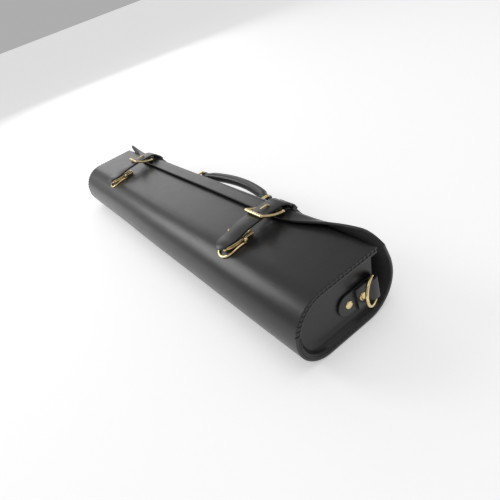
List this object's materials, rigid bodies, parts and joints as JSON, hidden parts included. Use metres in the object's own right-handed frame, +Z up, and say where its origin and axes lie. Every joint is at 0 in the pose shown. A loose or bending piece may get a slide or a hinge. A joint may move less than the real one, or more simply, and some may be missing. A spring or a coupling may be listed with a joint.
{
  "type": "leather satchel case",
  "caption": "Long leather satchel case with a fold-over flap, two buckled clip straps, a rolled top handle and swinging end rings.",
  "frame": {"origin": "middle of the flat back panel, on the surface the case lies on", "axes": "+X along the case towards its right end, +Y from the rounded base towards the handle, +Z up from the back panel towards the front panel"},
  "size_m": [0.674, 0.1719, 0.0959],
  "materials": {
    "leather": "smooth semi-gloss black bridle leather",
    "brass": "polished",
    "thread": "waxed black thread"
  },
  "bodies": {
    "case": {"wrap": "leather", "gusset_right": "leather", "gusset_left": "leather", "seam_thread_right": "thread", "seam_thread_left": "thread", "ring_tab_right": "leather", "ring_tab_left": "leather", "tab_rivets_right": "brass", "tab_rivets_left": "brass", "catch_frame_right": "brass", "catch_frame_left": "brass", "catch_staple_right": "brass", "catch_staple_left": "brass", "catch_rivets": "brass"},
    "flap": {"flap": "leather", "buckle_tab_right": "leather", "buckle_tab_left": "leather", "tab_stitches": "thread", "keeper_right": "leather", "keeper_left": "leather", "strap_right": "leather", "strap_left": "leather", "strap_studs": "brass", "buckle_frame_right": "brass", "buckle_frame_left": "brass", "clip_body_right": "brass", "clip_body_left": "brass", "handle_tab_right": "leather", "handle_tab_left": "leather", "handle_tab_rivets": "brass"},
    "handle": {"grip": "leather", "grip_rivets": "brass"},
    "d_ring_right": {"d_ring_right": "brass"},
    "d_ring_left": {"d_ring_left": "brass"},
    "prong_right": {"buckle_prong_right": "brass"},
    "prong_left": {"buckle_prong_left": "brass"},
    "clip_arm_outer_right": {"clip_arm_outer_right": "brass"},
    "clip_arm_inner_right": {"clip_arm_inner_right": "brass"},
    "clip_arm_outer_left": {"clip_arm_outer_left": "brass"},
    "clip_arm_inner_left": {"clip_arm_inner_left": "brass"},
    "handle_ring_right": {"handle_ring_right": "brass"},
    "handle_ring_left": {"handle_ring_left": "brass"}
  },
  "joints": [
    {"name": "flap_fold", "type": "hinge", "parent": "case", "child": "flap", "pos_m": [0, 0.06662, 0.036], "axis": [-1, 0, 0], "range_deg": [0, 56]},
    {"name": "d_ring_right_swing", "type": "hinge", "parent": "case", "child": "d_ring_right", "pos_m": [0.32635, 0.044, 0.031], "axis": [0, 0, 1], "range_deg": [-6, 115]},
    {"name": "prong_right_lift", "type": "hinge", "parent": "flap", "child": "prong_right", "pos_m": [0.191, 0.0425, 0.08379], "axis": [-1, 0, 0], "range_deg": [0, 20]},
    {"name": "clip_arm_outer_right_pinch", "type": "hinge", "parent": "flap", "child": "clip_arm_outer_right", "pos_m": [0.196, -0.0345, 0.078], "axis": [0, 0, 1], "range_deg": [0, 3], "stiffness_Nm_per_rad": 0.4},
    {"name": "clip_arm_inner_right_pinch", "type": "hinge", "parent": "flap", "child": "clip_arm_inner_right", "pos_m": [0.186, -0.0345, 0.078], "axis": [0, 0, -1], "range_deg": [0, 3], "stiffness_Nm_per_rad": 0.4},
    {"name": "d_ring_left_swing", "type": "hinge", "parent": "case", "child": "d_ring_left", "pos_m": [-0.32635, 0.044, 0.031], "axis": [0, 0, -1], "range_deg": [-6, 115]},
    {"name": "prong_left_lift", "type": "hinge", "parent": "flap", "child": "prong_left", "pos_m": [-0.191, 0.0425, 0.08379], "axis": [-1, 0, 0], "range_deg": [0, 20]},
    {"name": "clip_arm_outer_left_pinch", "type": "hinge", "parent": "flap", "child": "clip_arm_outer_left", "pos_m": [-0.196, -0.0345, 0.078], "axis": [0, 0, -1], "range_deg": [0, 3], "stiffness_Nm_per_rad": 0.4},
    {"name": "clip_arm_inner_left_pinch", "type": "hinge", "parent": "flap", "child": "clip_arm_inner_left", "pos_m": [-0.186, -0.0345, 0.078], "axis": [0, 0, 1], "range_deg": [0, 3], "stiffness_Nm_per_rad": 0.4},
    {"name": "handle_ring_right_tilt", "type": "hinge", "parent": "flap", "child": "handle_ring_right", "pos_m": [0.102, 0.0729, 0.043], "axis": [0, 0, 1], "range_deg": [-25, 25]},
    {"name": "handle_ring_left_tilt", "type": "hinge", "parent": "flap", "child": "handle_ring_left", "pos_m": [-0.086, 0.0729, 0.043], "axis": [0, 0, 1], "range_deg": [-25, 25]},
    {"name": "handle_swing", "type": "hinge", "parent": "handle_ring_right", "child": "handle", "pos_m": [0.102, 0.0899, 0.043], "axis": [0, 0, 1], "range_deg": [-25, 25]}
  ],
  "couplings": [
    {"joint": "clip_arm_inner_right_pinch", "follows": "clip_arm_outer_right_pinch", "ratio": 1},
    {"joint": "clip_arm_inner_left_pinch", "follows": "clip_arm_outer_left_pinch", "ratio": 1},
    {"joint": "handle_ring_left_tilt", "follows": "handle_ring_right_tilt", "ratio": 1},
    {"joint": "handle_swing", "follows": "handle_ring_right_tilt", "ratio": -1}
  ]
}
